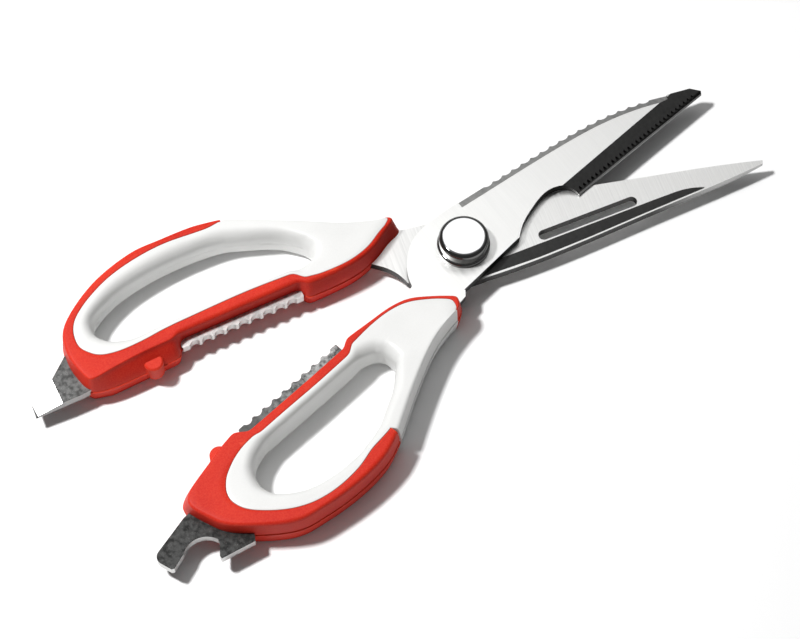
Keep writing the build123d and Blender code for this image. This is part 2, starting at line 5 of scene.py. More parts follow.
import bmesh
import bpy
import numpy as np
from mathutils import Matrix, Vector


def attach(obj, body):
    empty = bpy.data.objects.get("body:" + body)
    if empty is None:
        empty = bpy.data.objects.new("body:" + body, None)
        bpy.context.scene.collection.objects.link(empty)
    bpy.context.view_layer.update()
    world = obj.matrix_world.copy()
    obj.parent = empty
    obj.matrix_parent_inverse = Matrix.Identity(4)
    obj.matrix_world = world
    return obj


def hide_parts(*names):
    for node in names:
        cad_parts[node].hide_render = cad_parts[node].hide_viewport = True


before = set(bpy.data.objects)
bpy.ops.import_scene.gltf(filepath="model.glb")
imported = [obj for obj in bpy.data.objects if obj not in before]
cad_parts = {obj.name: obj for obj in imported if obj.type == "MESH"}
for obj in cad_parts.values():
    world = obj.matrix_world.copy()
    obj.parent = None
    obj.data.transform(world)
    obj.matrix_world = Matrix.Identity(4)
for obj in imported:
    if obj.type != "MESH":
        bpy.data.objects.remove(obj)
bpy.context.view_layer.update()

MM = 0.001
HANDLE_THICK = 13.5
MID = HANDLE_THICK / 2
# How far each blade is turned from the closed line at rest, and each grip, in degrees.
HALF_OPEN = 9.0
SLOTTED_GRIP_TURN = -HALF_OPEN + 7.3
SCALER_GRIP_TURN = HALF_OPEN + 8.2

# ---------------------------------------------------------------- handle shapes, in mm
# Each row is one place round a handle, in the handle's own frame (X along the handle
# towards the blades, Y towards the loop): the outline at mid-height, the ridge round the
# top face, the edge between red and white, the finger loop's wall, and the ridge's radius.
# A row marked "corner" is a corner of the outline. The red shell starts at the row marked
# "front" and ends at the row marked "rim". The rows run from the outer side of the
# collar, round its end, along the inner side, round the rear and back.
SLOTTED_ROWS = [
    ("front", (-17.6, 18.3), (-17.9, 17.7), (-18.3, 17.4), (-43.9, 19.6), 0.8),
    ("", (-15.4, 17.0), (-16.9, 16.9), (-18.0, 16.7), (-43.8, 18.9), 0.9),
    ("", (-14.7, 15.1), (-17.1, 16.0), (-18.9, 15.9), (-43.8, 18.2), 1.5),
    ("", (-16.4, 13.8), (-18.4, 15.2), (-20.0, 15.2), (-43.9, 17.4), 1.8),
    ("", (-20.0, 12.4), (-21.0, 13.7), (-21.9, 14.2), (-44.4, 16.6), 2.0),
    ("", (-26.0, 9.0), (-26.3, 10.4), (-27.0, 11.6), (-45.4, 15.6), 2.0),
    ("", (-33.0, 6.5), (-33.0, 8.2), (-33.3, 9.9), (-46.6, 15.0), 2.0),
    ("", (-41.0, 5.6), (-41.0, 7.4), (-41.0, 9.2), (-48.4, 14.6), 1.9),
    ("corner", (-51.0, 5.5), (-50.0, 7.6), (-50.0, 9.4), (-50.6, 14.4), 1.5),
    ("corner", (-53.0, 8.7), (-52.4, 9.6), (-52.8, 12.4), (-53.2, 14.4), 1.4),
    ("", (-70.0, 8.7), (-70.0, 9.5), (-70.0, 12.9), (-70.0, 14.4), 1.5),
    ("corner", (-92.5, 8.7), (-92.6, 9.4), (-92.2, 12.3), (-92.5, 14.4), 1.4),
    ("corner", (-95.0, 3.8), (-95.9, 8.0), (-95.4, 12.1), (-95.4, 14.4), 0.6),
    ("", (-105.0, 3.5), (-105.0, 7.7), (-103.5, 11.8), (-101.0, 14.4), 0.6),
    ("", (-116.0, 3.3), (-115.0, 6.8), (-111.0, 11.7), (-106.6, 14.7), 0.7),
    ("", (-121.6, 3.9), (-120.8, 6.0), (-115.4, 12.2), (-110.4, 15.8), 0.7),
    ("corner", (-124.6, 4.9), (-123.5, 6.0), (-117.8, 13.1), (-112.3, 16.6), 0.7),
    ("", (-126.1, 7.4), (-124.7, 8.8), (-120.3, 14.8), (-114.2, 18.2), 0.8),
    ("", (-127.4, 16.5), (-126.2, 17.3), (-122.9, 20.0), (-116.0, 21.4), 1.2),
    ("", (-124.2, 27.2), (-123.3, 26.8), (-120.1, 28.8), (-114.3, 26.4), 1.4),
    ("", (-111.0, 37.2), (-110.6, 36.2), (-108.1, 35.3), (-105.2, 31.3), 1.5),
    ("", (-96.0, 42.2), (-96.0, 41.2), (-95.6, 38.6), (-94.0, 33.9), 1.5),
    ("", (-85.0, 42.7), (-85.0, 41.7), (-85.2, 39.7), (-84.0, 34.8), 1.5),
    ("", (-75.0, 42.5), (-75.0, 41.6), (-75.2, 39.1), (-74.4, 34.8), 1.4),
    ("", (-69.6, 41.6), (-69.7, 40.8), (-69.9, 38.9), (-70.2, 34.4), 1.1),
    ("rim", (-65.2, 40.2), (-65.4, 39.9), (-65.6, 39.5), (-66.4, 33.7), 0.4),
    ("", (-45.0, 31.2), (-45.7, 30.2), (-46.6, 29.0), (-52.6, 28.3), 1.4),
    ("", (-31.0, 23.4), (-31.8, 22.5), (-33.0, 21.3), (-46.6, 23.8), 1.4),
    ("", (-21.5, 19.4), (-22.2, 18.6), (-23.4, 17.6), (-44.6, 21.2), 1.2),
]
SCALER_ROWS = [
    ("front", (-18.4, 16.5), (-18.6, 15.8), (-19.3, 15.0), (-44.5, 14.6), 0.8),
    ("", (-15.8, 15.0), (-16.9, 14.5), (-18.3, 14.1), (-44.4, 13.8), 0.8),
    ("", (-14.6, 13.2), (-16.0, 12.8), (-17.8, 13.2), (-44.3, 13.0), 0.8),
    ("", (-15.8, 11.0), (-17.0, 11.3), (-18.5, 12.2), (-44.3, 12.0), 0.8),
    ("", (-20.5, 6.4), (-21.0, 7.4), (-22.1, 8.8), (-44.4, 10.8), 0.8),
    ("", (-26.5, 1.4), (-26.8, 2.8), (-27.7, 4.6), (-44.7, 9.7), 0.8),
    ("", (-33.0, -1.2), (-33.1, 0.7), (-33.6, 2.6), (-45.5, 8.6), 0.8),
    ("", (-41.0, -2.2), (-41.0, -0.1), (-41.0, 1.8), (-47.2, 7.2), 0.8),
    ("corner", (-51.0, -2.2), (-50.4, -0.9), (-50.4, 1.4), (-50.6, 6.1), 0.8),
    ("corner", (-53.0, 0.2), (-52.6, 0.9), (-53.4, 3.4), (-53.6, 5.9), 0.7),
    ("", (-70.0, 0.2), (-70.0, 1.0), (-70.0, 3.6), (-70.0, 5.9), 0.7),
    ("corner", (-92.5, 0.2), (-92.9, 0.8), (-90.0, 2.9), (-88.5, 5.9), 0.7),
    ("corner", (-95.0, -3.6), (-96.4, -2.2), (-93.2, 2.9), (-90.8, 6.1), 0.6),
    ("", (-103.4, -2.7), (-103.4, -1.1), (-98.4, 3.2), (-94.2, 7.0), 0.6),
    ("", (-110.0, -1.8), (-110.2, 0.5), (-103.0, 4.4), (-97.0, 8.1), 0.7),
    ("", (-118.4, 0.4), (-117.8, 2.3), (-107.6, 7.0), (-99.6, 10.1), 0.8),
    ("", (-122.0, 2.4), (-120.9, 4.3), (-109.8, 8.9), (-100.9, 12.2), 1.0),
    ("", (-122.7, 4.6), (-121.6, 7.0), (-111.6, 11.6), (-101.6, 14.2), 1.2),
    ("", (-121.2, 11.6), (-120.2, 12.4), (-112.6, 16.6), (-101.7, 17.0), 1.3),
    ("", (-117.6, 20.0), (-116.9, 19.4), (-109.9, 22.6), (-99.6, 21.4), 1.4),
    ("", (-104.2, 31.9), (-103.8, 31.0), (-99.6, 28.8), (-92.6, 26.0), 1.5),
    ("", (-93.0, 35.3), (-92.8, 34.3), (-91.0, 31.0), (-84.0, 28.2), 1.5),
    ("", (-80.0, 36.65), (-80.0, 35.65), (-79.6, 31.6), (-75.4, 28.5), 1.5),
    ("", (-68.8, 35.9), (-69.2, 34.9), (-68.8, 30.8), (-69.0, 28.0), 1.4),
    ("rim", (-60.9, 33.2), (-61.6, 32.3), (-62.6, 30.2), (-62.6, 26.2), 1.4),
    ("", (-46.0, 25.4), (-46.7, 24.5), (-47.6, 23.2), (-52.2, 20.7), 1.4),
    ("", (-32.0, 19.2), (-32.6, 18.4), (-33.6, 17.2), (-47.2, 16.9), 1.4),
    ("", (-22.4, 17.0), (-22.9, 16.2), (-23.6, 15.2), (-45.2, 15.4), 1.2),
]

# How far apart the stations round a handle are, and how many points each stretch of a
# section has.
STATION = 1.0
WALL_STEPS = 6
ROUND_STEPS = 5
TOP_STEPS = 5
LOOP_STEPS = 8
# How much each station takes from itself and its two neighbours on each side.
SOFTENING = (0.06, 0.24, 0.4, 0.24, 0.06)
# The groove at the parting line, and how far the top piece stands back from the outline.
PARTING_GROOVE = 0.14
PARTING_STEP = 0.3
LOOP_GROOVE = 0.04
# A wall that leans in by more than STRONG_LEAN bulges less than one that leans in slightly.
STRONG_LEAN = 1.5
STRONG_LEAN_POWER = 1.25
SLIGHT_LEAN_POWER = 1.6
# Where a top wall leans in by more than STEEPER_FROM, the wall below it stands steeper, in
# full once it leans in by STEEPER_OVER more.
BOTTOM_STEEPER = 0.6
STEEPER_FROM = 1.2
STEEPER_OVER = 2.0
# How far outside the ridge line its round starts, as a share of its radius.
RIDGE_SHARE = 0.3
# The round between the top face and the finger loop's wall: its most and its share.
CROWN_WIDE = 3.6
CROWN_WIDE_SHARE = 0.74
CROWN_DEEP = 4.4
CROWN_DEEP_SHARE = 1.35
# The least flat red and flat white on the top face.
RED_LEAST = 0.3
WHITE_LEAST = 0.35
# The gap between red and white, and the small round on each side of it.
COLOUR_GAP = 0.05
COLOUR_ROUND = 0.22
COLOUR_ROUND_IN = 0.35
COLOUR_ROUND_DOWN = 0.25
FLAT_TOP = MID
# Edges that turn by more than this many degrees are shaded as sharp.
CREASE = 38
MERGE_WITHIN = 1e-6


def smooth_run(points, counts):
    """A Catmull-Rom run through the points, with a given number of samples per span."""
    p = np.array(points, float)
    p = np.vstack([2 * p[0] - p[1], p, 2 * p[-1] - p[-2]])
    out = []
    for i, n in enumerate(counts):
        a, b, c, d = p[i : i + 4]
        t = (np.arange(n) / n)[:, None]
        bend = (2 * a - 5 * b + 4 * c - d) * t**2 + (3 * b - a - 3 * c + d) * t**3
        out.append(0.5 * (2 * b + (c - a) * t + bend))
    return np.vstack(out)


def closed_lines(rows):
    """The rows filled in to stations about 1 mm apart, and where the red starts and ends.

    Each station is the outline, the ridge, the border, the loop and the ridge's radius."""
    kinds = [r[0] for r in rows]
    data = np.array([[*r[1], *r[2], *r[3], *r[4], r[5]] for r in rows], float)
    n = len(rows)
    counts = []
    for i in range(n):
        step = data[(i + 1) % n] - data[i]
        span = max(np.hypot(*step[0:2]), np.hypot(*step[2:4]))
        counts.append(max(2, int(round(span / STATION))))
    starts = np.concatenate([[0], np.cumsum(counts)])
    corners = [i for i in range(n) if kinds[i] in ("corner", "rim")]
    filled = np.zeros((starts[-1], data.shape[1]))
    for a, b in zip(corners, corners[1:] + [corners[0] + n]):
        members = [k % n for k in range(a, b + 1)]
        run = smooth_run(data[members], [counts[k] for k in members[:-1]])
        at = 0
        for k in members[:-1]:
            filled[starts[k] : starts[k] + counts[k]] = run[at : at + counts[k]]
            at += counts[k]
    shifts = range(-2, 3)
    soft = sum(w * np.roll(filled, s, axis=0) for w, s in zip(SOFTENING, shifts))
    return soft, {k: int(starts[i]) for i, k in enumerate(kinds) if k in ("front", "rim")}


def ease(share, lean):
    """How far the wall has leant in at a share of its height. A leaning wall bulges."""
    return share ** (STRONG_LEAN_POWER if lean > STRONG_LEAN else SLIGHT_LEAN_POWER)


def section(line, above):
    """One station's section, as stretches of (spot, height from mid-height).

    outer is the wall and the ridge's round, and inside is the loop's wall. The flat top
    runs from start over the colour border to end. A top piece stands a little back from
    the outline at the parting line."""
    mid, ridge, border, loop, radius = line[0:2], line[2:4], line[4:6], line[6:8], line[8]
    inward = (loop - ridge) / np.hypot(*(loop - ridge))
    lean = np.hypot(*(ridge - mid))
    if not above:
        share = min(max(lean - STEEPER_FROM, 0.0) / STEEPER_OVER, 1.0)
        ridge = ridge + (mid - ridge) * BOTTOM_STEEPER * share
        lean = np.hypot(*(ridge - mid))
    wall_top = ridge - inward * radius * RIDGE_SHARE
    face = (ridge - mid) / max(lean, 0.01)
    if above:
        mid = mid + face * PARTING_STEP

    outer = [(mid + face * PARTING_GROOVE, 0.0), (mid, PARTING_GROOVE)]
    for i in range(1, WALL_STEPS):
        share = i / (WALL_STEPS - 1)
        height = PARTING_GROOVE + (FLAT_TOP - radius - PARTING_GROOVE) * share
        outer.append((mid + (wall_top - mid) * ease(share, lean), height))
    for i in range(1, ROUND_STEPS + 1):
        turn = math.pi / 2 * i / ROUND_STEPS
        spot = wall_top + inward * radius * (1 - math.cos(turn))
        outer.append((spot, FLAT_TOP - radius * (1 - math.sin(turn))))

    start = outer[-1][0]
    crown = min(CROWN_WIDE, CROWN_WIDE_SHARE * np.hypot(*(loop - border)))
    drop = min(CROWN_DEEP, CROWN_DEEP_SHARE * crown)
    end = loop - inward * crown
    reach = max(np.dot(border - start, inward), RED_LEAST)
    reach = min(reach, np.dot(end - start, inward) - WHITE_LEAST)

    inside = []
    for i in range(1, LOOP_STEPS + 1):
        turn = math.pi / 2 * i / LOOP_STEPS
        spot = end + inward * crown * math.sin(turn)
        inside.append((spot, FLAT_TOP - drop * (1 - math.cos(turn))))
    inside.append((loop, (FLAT_TOP - drop) * 0.5))
    inside.append((loop, LOOP_GROOVE))
    inside.append((loop - inward * LOOP_GROOVE, 0.0))
    return {
        "outer": outer,
        "start": start,
        "border": start + inward * reach,
        "end": end,
        "inside": inside,
        "inward": inward,
    }


def rounded_edge(spot, inward, sign):
    """The small round at the colour border: points from the flat top down into the gap."""
    side = sign * inward
    return [
        (spot + side * (COLOUR_GAP + COLOUR_ROUND), FLAT_TOP),
        (
            spot + side * (COLOUR_GAP + COLOUR_ROUND * COLOUR_ROUND_IN),
            FLAT_TOP - COLOUR_ROUND * COLOUR_ROUND_DOWN,
        ),
        (spot + side * COLOUR_GAP, FLAT_TOP - COLOUR_ROUND),
        (spot + side * COLOUR_GAP, 0.0),
    ]


def flat_top(start, end, last):
    """Points along the flat top from just past start. With last, they take in the end."""
    steps = range(1, TOP_STEPS + 1 if last else TOP_STEPS)
    return [(start + (end - start) * i / TOP_STEPS, FLAT_TOP) for i in steps]


def red_ring(s):
    """One closed section of the red shell."""
    edge = rounded_edge(s["border"], s["inward"], -1)
    return s["outer"] + flat_top(s["start"], edge[0][0], False) + edge


def white_ring(s, beside_red):
    """One closed section of the white piece, next to the red shell or alone."""
    outer, start = s["outer"], s["start"]
    if beside_red:
        foot, *rim = rounded_edge(s["border"], s["inward"], 1)[::-1]
        count = len(outer) - len(rim)
        wall = [(foot[0], (FLAT_TOP - COLOUR_ROUND) * i / count) for i in range(count)]
        outer, start = wall + rim, rim[-1][0]
    return outer + flat_top(start, s["end"], True) + s["inside"]


def build_rings(name, rings, closed, turn, flip, above):
    """A solid through a row of closed sections, turned and set down in the shared frame."""
    bm = bmesh.new()
    cos, sin = math.cos(turn), math.sin(turn)
    rows = []
    for ring in rings:
        row = []
        for (x, y), height in ring:
            y = flip * y
            place = (x * cos - y * sin, x * sin + y * cos, MID + (height if above else -height))
            row.append(bm.verts.new([c * MM for c in place]))
        rows.append(row)
    width = len(rows[0])
    following = rows[1:] + rows[:1] if closed else rows[1:]
    for a, b in zip(rows, following):
        for k in range(width):
            m = (k + 1) % width
            bm.faces.new((a[k], a[m], b[m], b[k]))
    if not closed:
        bm.faces.new(rows[0])
        bm.faces.new(rows[-1][::-1])
    bmesh.ops.remove_doubles(bm, verts=bm.verts, dist=MERGE_WITHIN)
    bmesh.ops.recalc_face_normals(bm, faces=bm.faces)
    for face in bm.faces:
        face.smooth = True
    for edge in bm.edges:
        if len(edge.link_faces) == 2 and edge.calc_face_angle(0) > math.radians(CREASE):
            edge.smooth = False
    mesh = bpy.data.meshes.new(name)
    bm.to_mesh(mesh)
    bm.free()
    obj = bpy.data.objects.new(name, mesh)
    bpy.context.scene.collection.objects.link(obj)
    return obj


# ---------------------------------------------------------------- material tools
# Nearly all of a noise texture lies between these two values.
NOISE_LOW, NOISE_HIGH = 0.3, 0.7
# Plastic: the noise that draws its pale specks and the convexity of an edge painted paler,
# a painted highlight together with wear, each as a span from where they start to where
# they are full, and their most.
SPECKS = (0.35, 0.65, 0.0, 0.22)
EDGE_WEAR_HIGHLIGHT = (0.52, 0.6, 0.0, 0.35)
# Tumbled steel: the noise between its dark and pale blots, its bright pits as a span, how
# much paler a pit is than a pale blot, up to the palest steel, and the pits' share of the
# bump.
BLOTS = (0.38, 0.66)
PITS = (0.62, 0.72, 0.0, 0.5)
PIT_PALER = 2.0
PALEST = 0.85
PIT_SHARE = 0.35
# Ground steel: how much of the broad bands shows in the fine lines, and the darkest and
# palest share of the grey painted on slopes as a painted dark reflection.
BAND_SHARE = 0.12
SHALLOW_RANGE = (0.8, 1.2)
STEEP_RANGE = (0.55, 1.6)
STEEP_LINES = 0.9
# The width over which one look fades into the next across a blade, in metres.
FADE = 0.0002
FINE_FADE = 0.0001
# How upright a surface's own direction is where a look starts to show, and where it
# shows in full.
SLOPE = (0.997, 0.988)
STEEP = (0.949, 0.94)
WALL = (0.6, 0.4)
# The mask for the cap's sides, which get a painted dark reflection.
CAP_SIDE_REFLECTION = (0.995, 0.9)
# The near-black grey: painted shade on the floors of cuts, and the screwdriver's dark tip.
NEAR_BLACK = 0.02
# Where the blades' walls run from one grey to the other, along X: painted shade, turning
# to a painted reflection where the second grey is pale.
WALL_SHADING_RUN = (0.06, 0.085)
# Noise scales along and across a blade that draw the grinding lines and broader bands.
GRINDING_LINES = (2600, 60, 60)
GRINDING_BANDS = (420, 25, 25)


def grey(value):
    """A steel grey, very slightly warm."""
    return (value, value, 0.985 * value)


class Paint:
    """One material's nodes, with a short call for each kind that is used here."""

    def __init__(self, name):
        self.material = bpy.data.materials.new(name)
        self.material.use_nodes = True
        self.nodes = self.material.node_tree.nodes
        self.shader = self.nodes["Principled BSDF"]

    def link(self, value, socket):
        self.material.node_tree.links.new(value, socket)

    def coords(self):
        return self.nodes.new("ShaderNodeTexCoord").outputs["Object"]

    def noise(self, coords, scale, detail):
        """Noise with about so many blots per metre, and finer levels inside them."""
        tex = self.nodes.new("ShaderNodeTexNoise")
        tex.inputs["Scale"].default_value = scale
        tex.inputs["Detail"].default_value = detail
        self.link(coords, tex.inputs["Vector"])
        return tex.outputs["Fac"]

    def stretched(self, coords, turn, factors):
        """Coordinates turned about Z by some degrees, then scaled along each axis."""
        spin = self.nodes.new("ShaderNodeMapping")
        spin.inputs["Rotation"].default_value = (0, 0, -math.radians(turn))
        self.link(coords, spin.inputs["Vector"])
        scale = self.nodes.new("ShaderNodeMapping")
        scale.inputs["Scale"].default_value = factors
        self.link(spin.outputs["Vector"], scale.inputs["Vector"])
        return scale.outputs["Vector"]

    def ramp(self, value, low_colour, high_colour, ends=(NOISE_LOW, NOISE_HIGH)):
        """A colour that runs from one to the other as the value goes between the ends."""
        node = self.nodes.new("ShaderNodeValToRGB")
        stops = zip(node.color_ramp.elements, ends, (low_colour, high_colour))
        for element, at, colour in stops:
            element.position = at
            element.color = (*colour, 1)
        self.link(value, node.inputs["Fac"])
        return node.outputs["Color"]

    def span(self, value, low, high, to_low=0.0, to_high=1.0):
        """The value, taken from one range to another and kept inside it."""
        node = self.nodes.new("ShaderNodeMapRange")
        keys = ("From Min", "From Max", "To Min", "To Max")
        for key, number in zip(keys, (low, high, to_low, to_high)):
            node.inputs[key].default_value = number
        self.link(value, node.inputs["Value"])
        return node.outputs["Result"]

    def mix(self, share, a, b):
        """Mix two colours by a share. Each of the three is a plain value or a socket."""
        node = self.nodes.new("ShaderNodeMix")
        node.data_type = "RGBA"
        for key, value in (("A", a), ("B", b)):
            if isinstance(value, tuple):
                node.inputs[key].default_value = (*value, 1)
            else:
                self.link(value, node.inputs[key])
        if isinstance(share, float):
            node.inputs["Factor"].default_value = share
        else:
            self.link(share, node.inputs["Factor"])
        return node.outputs["Result"]

    def times(self, a, b):
        node = self.nodes.new("ShaderNodeMath")
        node.operation = "MULTIPLY"
        self.link(a, node.inputs[0])
        self.link(b, node.inputs[1])
        return node.outputs["Value"]

    def part(self, vector, axis):
        """One axis of a vector."""
        node = self.nodes.new("ShaderNodeSeparateXYZ")
        self.link(vector, node.inputs["Vector"])
        return node.outputs[axis]

    def upright(self):
        """How much of the surface's own direction lies along Z, without its sign."""
        size = self.nodes.new("ShaderNodeMath")
        size.operation = "ABSOLUTE"
        normal = self.nodes.new("ShaderNodeNewGeometry").outputs["True Normal"]
        self.link(self.part(normal, "Z"), size.inputs[0])
        return size.outputs["Value"]

    def finish(self, base, rough, bump, metal=True):
        """Join the colour, the roughness and the bump to the shader.

        rough is a noise and the roughness at its low and high ends. bump is a noise, its
        strength and its depth in metres."""
        value, at_low, at_high = rough
        height, strength, distance = bump
        self.link(base, self.shader.inputs["Base Color"])
        roughness = self.span(value, NOISE_LOW, NOISE_HIGH, at_low, at_high)
        self.link(roughness, self.shader.inputs["Roughness"])
        if metal:
            self.shader.inputs["Metallic"].default_value = 1.0
        node = self.nodes.new("ShaderNodeBump")
        node.inputs["Strength"].default_value = strength
        node.inputs["Distance"].default_value = distance
        self.link(height, node.inputs["Height"])
        self.link(node.outputs["Normal"], self.shader.inputs["Normal"])
        return self.material


def plastic(name, dark, light, grain, grain_depth, rough, worn_and_highlight, specular=None):
    """Moulded plastic: pigment that varies a little, a moulded grain, and edges painted paler
    as a painted highlight together with wear.
    """
    paint = Paint(name)
    at = paint.coords()
    cloud = paint.noise(at, 60, 3)
    fine = paint.noise(at, grain, 3)
    base = paint.ramp(cloud, dark, light)
    base = paint.mix(paint.span(fine, *SPECKS), base, worn_and_highlight)
    # Convex edges are painted paler: a painted highlight along the ridges, with wear.
    edge = paint.nodes.new("ShaderNodeNewGeometry").outputs["Pointiness"]
    base = paint.mix(paint.span(edge, *EDGE_WEAR_HIGHLIGHT), base, worn_and_highlight)
    if specular is not None:
        paint.shader.inputs["Specular IOR Level"].default_value = specular
    rough = (fine, rough - 0.05, rough + 0.07)
    return paint.finish(base, rough, bump=(fine, 0.5, grain_depth), metal=False)


def ground(name, turn, light, dark, rough, slope_reflection, walls, low=None, honed_edge_highlight=None):
    """Ground steel: pale flats with fine grinding lines across, slopes painted dark as a
    painted reflection, and walls painted dark as painted shade.

    The slopes' greys are those of steep and shallow slopes, and the walls' two greys are
    those the walls run between along the blade; a pale second grey is a painted reflection
    towards the tip. low is the height under which a flat is the floor of a cut, painted
    near-black as painted shade. The edge strip gives two points of a straight edge, seen
    from above, the width of a strip along it painted paler as a highlight, and that
    strip's grey."""
    paint = Paint(name)
    at = paint.coords()
    lines = paint.noise(paint.stretched(at, turn, GRINDING_LINES), 1.0, 4)
    broad = paint.noise(paint.stretched(at, turn, GRINDING_BANDS), 1.0, 2)
    cloud = paint.noise(at, 900, 4)
    both = paint.mix(BAND_SHARE, lines, broad)
    flat = paint.ramp(both, grey(dark), grey(light))
    # Slopes are painted dark, a painted reflection.
    steep, shallow = slope_reflection
    shallow_look = paint.mix(cloud, *(grey(share * shallow) for share in SHALLOW_RANGE))
    steep_look = paint.mix(cloud, *(grey(share * steep) for share in STEEP_RANGE))
    steep_look = paint.mix(lines, steep_look, grey(STEEP_LINES * steep))
    # Walls are painted dark as shade, running along X to the second grey, a painted reflection
    # where it is pale.
    along = paint.part(at, "X")
    wall = paint.mix(paint.span(along, *WALL_SHADING_RUN), grey(walls[0]), grey(walls[1]))
    upright = paint.upright()
    base = paint.mix(paint.span(upright, *SLOPE), flat, shallow_look)
    base = paint.mix(paint.span(upright, *STEEP), base, steep_look)
    base = paint.mix(paint.span(upright, *WALL), base, wall)
    # Flats below low, the floors of cuts, are painted near-black as painted shade.
    if low is not None:
        cut_shade = paint.span(paint.part(at, "Z"), low, low - FADE)
        base = paint.mix(cut_shade, base, grey(NEAR_BLACK))
    # A strip along the cutting edge is painted paler, a painted highlight.
    if honed_edge_highlight is not None:
        start, end, width, bright = honed_edge_highlight
        line = (Vector(end) - Vector(start)).normalized()
        across = paint.nodes.new("ShaderNodeVectorMath")
        across.operation = "DOT_PRODUCT"
        paint.link(at, across.inputs[0])
        across.inputs[1].default_value = (-line.y, line.x, 0)
        edge = -line.y * start[0] + line.x * start[1]
        near = paint.span(across.outputs["Value"], edge + width + FINE_FADE, edge + width)
        past_start = paint.span(along, start[0] - FADE, start[0])
        base = paint.mix(paint.times(near, past_start), base, grey(bright))
    rough = (both, rough - 0.06, rough + 0.08)
    return paint.finish(base, rough, bump=(both, 0.25, 0.00002))


def polished(name, colour, rough, side=None):
    """Polished metal with faint rubbing marks. Its sides may be painted darker than its top,
    a painted dark reflection.
    """
    paint = Paint(name)
    at = paint.coords()
    fine = paint.noise(at, 500, 4)
    dull = tuple(0.94 * c for c in colour)
    base = paint.ramp(paint.noise(at, 120, 2), dull, colour)
    if side is not None:
        # The sides are painted darker, a painted dark reflection.
        base = paint.mix(paint.span(paint.upright(), *CAP_SIDE_REFLECTION), base, grey(side))
    return paint.finish(base, (fine, rough, rough + 0.05), bump=(fine, 0.1, 0.00001))


def tumbled(name, pale, dark, rough, edge, wall=None, end=None, along=None):
    """Stamped tool steel: mottled flats, and edges of one grey: pale ground steel on most
    tools, and painted shade where that grey is dark.

    The walls may have another grey, and the piece may be dark behind the X given as end.
    along gives a rear X, a front X, and how much of the dark grey the flats take on from
    the front X to the rear X, as painted shade."""
    paint = Paint(name)
    at = paint.coords()
    blot = paint.noise(at, 700, 6)
    pits = paint.noise(at, 2400, 3)
    base = paint.ramp(blot, grey(dark), grey(pale), BLOTS)
    base = paint.mix(paint.span(pits, *PITS), base, grey(min(PIT_PALER * pale, PALEST)))
    if along is not None:
        rear, front, share = along
        # Painted shade: the flats darken towards the rear X.
        shade = paint.span(paint.part(at, "X"), rear, front, share, 0.0)
        base = paint.mix(shade, base, grey(dark))
    upright = paint.upright()
    base = paint.mix(paint.span(upright, *SLOPE), base, grey(edge))
    if wall is not None:
        base = paint.mix(paint.span(upright, *WALL), base, grey(wall))
    if end is not None:
        past_end = paint.span(paint.part(at, "X"), end, end - FINE_FADE)
        base = paint.mix(past_end, base, grey(NEAR_BLACK))
    rough = (blot, rough + 0.12, rough - 0.03)
    return paint.finish(base, rough, bump=(paint.mix(PIT_SHARE, blot, pits), 0.3, 0.00001))


# ---------------------------------------------------------------- materials
red = plastic(
    "red_moulded", dark=(0.50, 0.012, 0.006), light=(0.60, 0.022, 0.009), grain=2400,
    grain_depth=0.00008, rough=0.5, worn_and_highlight=(0.80, 0.10, 0.045), specular=0.18,
)
red_shader = red.node_tree.nodes["Principled BSDF"]
red_shader.inputs["Subsurface Weight"].default_value = 0.15
red_shader.inputs["Subsurface Radius"].default_value = (0.0012, 0.0003, 0.0002)
red_shader.inputs["Subsurface Scale"].default_value = 1.0
white = plastic(
    "white_moulded", dark=(0.68, 0.68, 0.668), light=(0.73, 0.73, 0.718), grain=3000,
    grain_depth=0.00001, rough=0.34, worn_and_highlight=(0.78, 0.78, 0.77), specular=0.4,
)
nylon = plastic(
    "washer_nylon", dark=(0.74, 0.74, 0.70), light=(0.8, 0.8, 0.76), grain=1500,
    grain_depth=0.00001, rough=0.4, worn_and_highlight=(0.85, 0.85, 0.8),
)

# The slotted blade: slopes painted dark as a painted reflection, walls painted dark as shade
# and paler near the tip as a painted reflection.
slotted_steel = ground(
    "slotted_blade_steel", -HALF_OPEN, light=0.90, dark=0.74, rough=0.36,
    slope_reflection=(0.09, 0.09), walls=(0.04, 0.5),
)
# The saw's ends on the closed scaler blade, turned over and out to where the blade rests.
SAW_ENDS = ((0.0414, 0.0065), (0.0969, 0.0007))
cos_open, sin_open = math.cos(math.radians(HALF_OPEN)), math.sin(math.radians(HALF_OPEN))
saw_line = [(x * cos_open + y * sin_open, x * sin_open - y * cos_open) for x, y in SAW_ENDS]
# The scaler blade: slopes and walls painted dark as painted reflection and shade, its flats
# below 7.8 mm (floors of cuts and the underside) painted near-black as shade, and a strip along
# the cutting edge painted paler as a highlight.
scaler_steel = ground(
    "scaler_blade_steel", HALF_OPEN, light=0.93, dark=0.89, rough=0.42,
    slope_reflection=(0.11, 0.58), walls=(0.03, 0.06), low=0.0078, honed_edge_highlight=(*saw_line, 0.0004, 0.42),
)
slotted_jaw_steel = tumbled("slotted_jaw_steel", pale=0.68, dark=0.4, rough=0.42, edge=0.6)
# The scaler jaw: slopes painted dark and flats darker towards the rear, both painted shade.
scaler_jaw_steel = tumbled(
    "scaler_jaw_steel", pale=0.6, dark=0.08, rough=0.3, edge=0.1, along=(-0.085, -0.045, 0.9)
)
screwdriver_steel = tumbled(
    "screwdriver_steel", pale=0.16, dark=0.05, rough=0.3, edge=0.9, wall=0.3, end=-0.1416
)
opener_steel = tumbled("opener_steel", pale=0.07, dark=0.018, rough=0.3, edge=0.85, wall=0.6)
# The cap's sides are painted dark, a painted reflection.
chrome = polished("cap_chrome", (0.86, 0.86, 0.87), 0.05, side=0.14)
bolt_steel = polished("bolt_steel", (0.55, 0.55, 0.56), 0.22)

